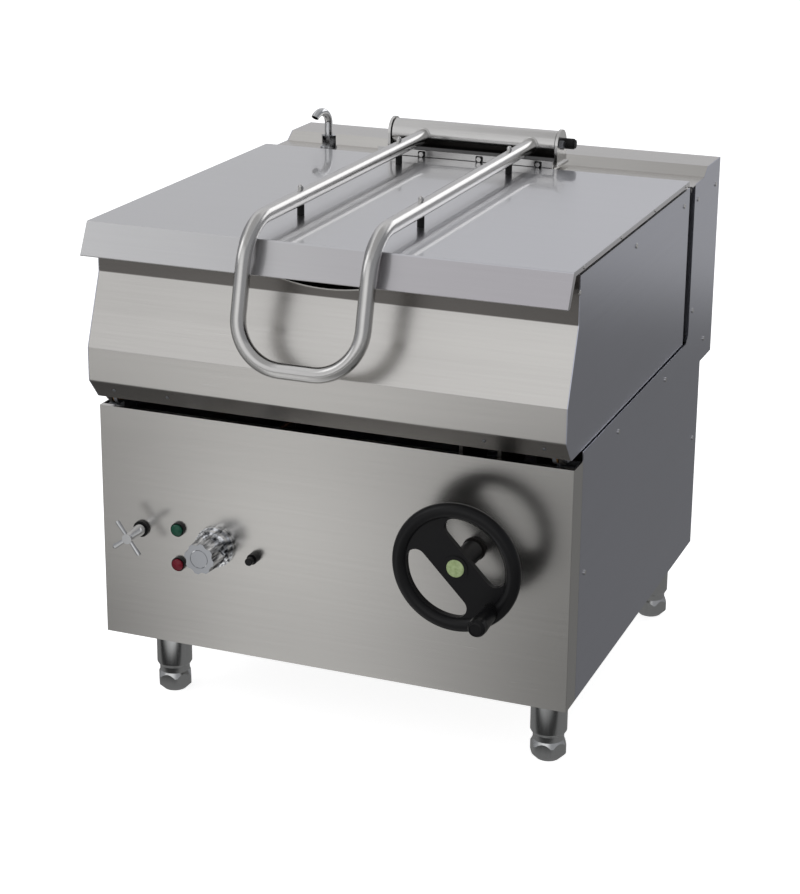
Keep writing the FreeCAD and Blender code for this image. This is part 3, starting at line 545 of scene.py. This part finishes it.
def plainFloor(look):
    nothingSelected()
    bpy.ops.mesh.primitive_plane_add(size=look["size"], location=(0, 0, 0))
    floor = bpy.context.object
    floor.name = "floor"
    material, g = newFinish("floorPaint")
    rays = g.node("ShaderNodeLightPath")
    spot = g.axes(g.node("ShaderNodeTexCoord").out("Object"))
    # what polished sheets see: bands of light and dark ahead of the front panel, bright at the left
    # and dull at the right, a plain dull floor beside the machine and a lighter one well behind it
    ahead = 0 - spot.out("Y") - look["front"]
    away = g.ramp((ahead + look["behind"]) / look["reach"], look["bands"])
    slanted = spot.out("X") + (ahead - look["slantFrom"]) * look["slant"]
    place = (slanted + look["sideReach"]) / (2 * look["sideReach"])
    far = g.spread(ahead, look["farFrom"], look["farTo"])
    across = g.blend(far, g.ramp(place, look["columns"]), g.ramp(place, look["farColumns"]))
    inFront = g.spread(ahead, 0.0, look["frontFrom"])
    wellBehind = g.spread(spot.out("Y"), look["backFrom"], look["backTo"]) * look["backLift"]
    level = away * (across * inFront + (1 - inFront) * look["behindLevel"]) + wellBehind
    mirrored = g.blend(level.clamp(), look["black"], look["white"])
    matt = g.node("ShaderNodeBsdfDiffuse", {}, {"Color": look["paint"]})
    glow = g.node("ShaderNodeEmission", {}, {"Color": mirrored, "Strength": 1.0})
    # to the eye a white floor that still shows the shadow: the lit paint is added to a plain glow
    white = g.node("ShaderNodeEmission", {}, {"Color": look["white"], "Strength": look["whiteness"]})
    seen = g.node("ShaderNodeAddShader", {}, {0: matt, 1: white})
    lit = g.node("ShaderNodeMixShader", {}, {0: rays.out("Is Glossy Ray"), 1: matt, 2: glow})
    surface = g.node("ShaderNodeMixShader", {}, {0: rays.out("Is Camera Ray"), 1: lit, 2: seen})
    g.node("ShaderNodeOutputMaterial", {}, {"Surface": surface})
    floor.data.materials.append(material)


# distances in metres ahead of the front panel or behind the middle; places in a ramp run from 0 to 1
floorLook = {
    "size": 60.0, "paint": tone(236, 236, 236), "white": (1, 1, 1, 1), "black": (0, 0, 0, 1), "whiteness": 0.84,
    "front": 0.344, "behind": 1.0, "reach": 5.0,
    "bands": greyStops((0.0, 0.48), (0.188, 0.46), (0.196, 0.06), (0.209, 0.06), (0.219, 0.9), (0.26, 0.72),
                       (0.31, 0.82), (0.36, 0.98), (0.43, 1.0), (0.465, 0.7), (0.5, 0.8), (0.52, 1.0), (0.64, 1.0),
                       (0.69, 0.12), (0.8, 0.12), (0.9, 0.6), (1.0, 0.6)),
    "sideReach": 2.0, "slant": 0.5, "slantFrom": 0.9,
    "columns": greyStops((0.0, 0.4), (0.28, 0.38), (0.325, 0.68), (0.35, 0.88), (0.4, 0.84), (0.45, 0.58),
                         (0.487, 0.38), (0.52, 0.29), (0.6, 0.27), (0.75, 0.22), (1.0, 0.3)),
    "farFrom": 1.55, "farTo": 1.8,
    "farColumns": greyStops((0.0, 0.85), (0.28, 0.87), (0.36, 1.0), (0.5, 1.0), (0.555, 0.74), (1.0, 0.7)),
    "frontFrom": 0.12, "behindLevel": 0.4, "backFrom": 2.1, "backTo": 3.1, "backLift": 0.24,
}
plainFloor(floorLook)


def studioWorld(look):
    # plain walls and ceiling, dark at both sides, that only the surfaces see: to the eye it is white
    world = bpy.data.worlds.new("studio")
    bpy.context.scene.world = world
    g = Graph(world)
    way = g.axes(g.node("ShaderNodeTexCoord").out("Generated"))
    right = g.spread(way.out("X"), look["rightFrom"], look["rightTo"]) * look["rightDark"]
    left = g.spread(0 - way.out("X"), look["leftFrom"], look["leftTo"]) * look["leftDark"]
    above = (g.spread(way.out("Z"), look["topFrom"], look["topTo"])
             * g.spread(way.out("X"), look["topLeft"], look["topRight"]))
    front = g.blend(g.spread(way.out("X"), look["wallFrom"], look["wallTo"]), look["frontWall"], look["frontRight"])
    level = g.blend(g.spread(way.out("Y"), look["backFrom"], look["backTo"]), front, look["backWall"])
    level = g.blend(g.spread(way.out("Z"), look["wallTop"], look["ceiling"]), level, look["sky"])
    level = g.blend(above, level, look["overhead"])
    level = g.blend(right, level, look["darkSide"])
    level = g.blend(left, level, look["darkSide"])
    seen = g.blend(g.node("ShaderNodeLightPath").out("Is Camera Ray"), level, look["white"])
    light = g.node("ShaderNodeBackground", {}, {"Color": seen, "Strength": look["strength"]})
    g.node("ShaderNodeOutputWorld", {}, {"Surface": light})


# limits are parts of the way's own length, -1 to 1 along x, y and z
worldLook = {
    "frontWall": plainGrey(0.66), "frontRight": plainGrey(1.0), "wallFrom": -0.5, "wallTo": -0.26,
    "backWall": (0.56, 0.56, 0.58, 1), "backFrom": -0.3, "backTo": 0.5,
    "sky": (0.78, 0.78, 0.79, 1), "wallTop": 0.1, "ceiling": 0.8,
    "overhead": plainGrey(0.24), "topFrom": 0.62, "topTo": 0.9, "topLeft": -0.42, "topRight": -0.26,
    "darkSide": (0.2, 0.205, 0.22, 1), "rightFrom": 0.1, "rightTo": 0.6, "rightDark": 0.8,
    "leftFrom": 0.62, "leftTo": 0.8, "leftDark": 0.75, "white": (1, 1, 1, 1), "strength": 1.0,
}
studioWorld(worldLook)


def softLamp(name, look):
    lamp = bpy.data.lights.new(name, "AREA")
    lamp.shape = "RECTANGLE"
    lamp.size, lamp.size_y = look["size"]
    lamp.energy = look["energy"]
    holder = bpy.data.objects.new(name, lamp)
    bpy.context.scene.collection.objects.link(holder)
    holder.location = look["at"]
    holder.rotation_euler = (Vector(look["towards"]) - Vector(look["at"])).to_track_quat("-Z", "Y").to_euler()


lampLooks = {
    "keyLamp": {"size": (2.0, 2.6), "energy": 15.0, "at": (-3.4, -2.2, 3.0), "towards": (0, 0, 0.5)},
    "topLamp": {"size": (5.0, 4.0), "energy": 14.0, "at": (0.4, 0.0, 3.8), "towards": (0, 0, 0.6)},
    "backLamp": {"size": (3.0, 1.4), "energy": 15.0, "at": (1.6, 3.4, 2.4), "towards": (0, 0, 0.6)},
}
for name, look in lampLooks.items():
    softLamp(name, look)
print("floor, world and", len(lampLooks), "lamps set")

# camera: found from the corners of the machine as the photograph shows them; focal in its pixels
view = {"at": (1.264, -3.247, 1.638), "yaw": -21.50, "pitch": 17.54, "roll": 0.50, "focal": 2162.0, "tall": 894,
        "sensor": 36.0, "shift": -0.08, "clip": 100}
yaw, pitch, roll = (math.radians(view[k]) for k in ("yaw", "pitch", "roll"))
ahead = Vector((math.sin(yaw) * math.cos(pitch), math.cos(yaw) * math.cos(pitch), -math.sin(pitch)))
level = Vector((math.cos(yaw), -math.sin(yaw), 0))
above = level.cross(ahead)
rightWay = level * math.cos(roll) + above * math.sin(roll)
upWay = above * math.cos(roll) - level * math.sin(roll)
cameraData = bpy.data.cameras.new("camera")
cameraData.sensor_width = view["sensor"]
cameraData.lens = view["focal"] / view["tall"] * view["sensor"]
cameraData.shift_y = view["shift"]
cameraData.clip_end = view["clip"]
camera = bpy.data.objects.new("camera", cameraData)
bpy.context.scene.collection.objects.link(camera)
axes = Matrix([rightWay, upWay, -ahead]).transposed().to_4x4()
camera.matrix_world = Matrix.Translation(view["at"]) @ axes
bpy.context.scene.camera = camera
bpy.context.scene.view_settings.view_transform = "Standard"
print("camera set")
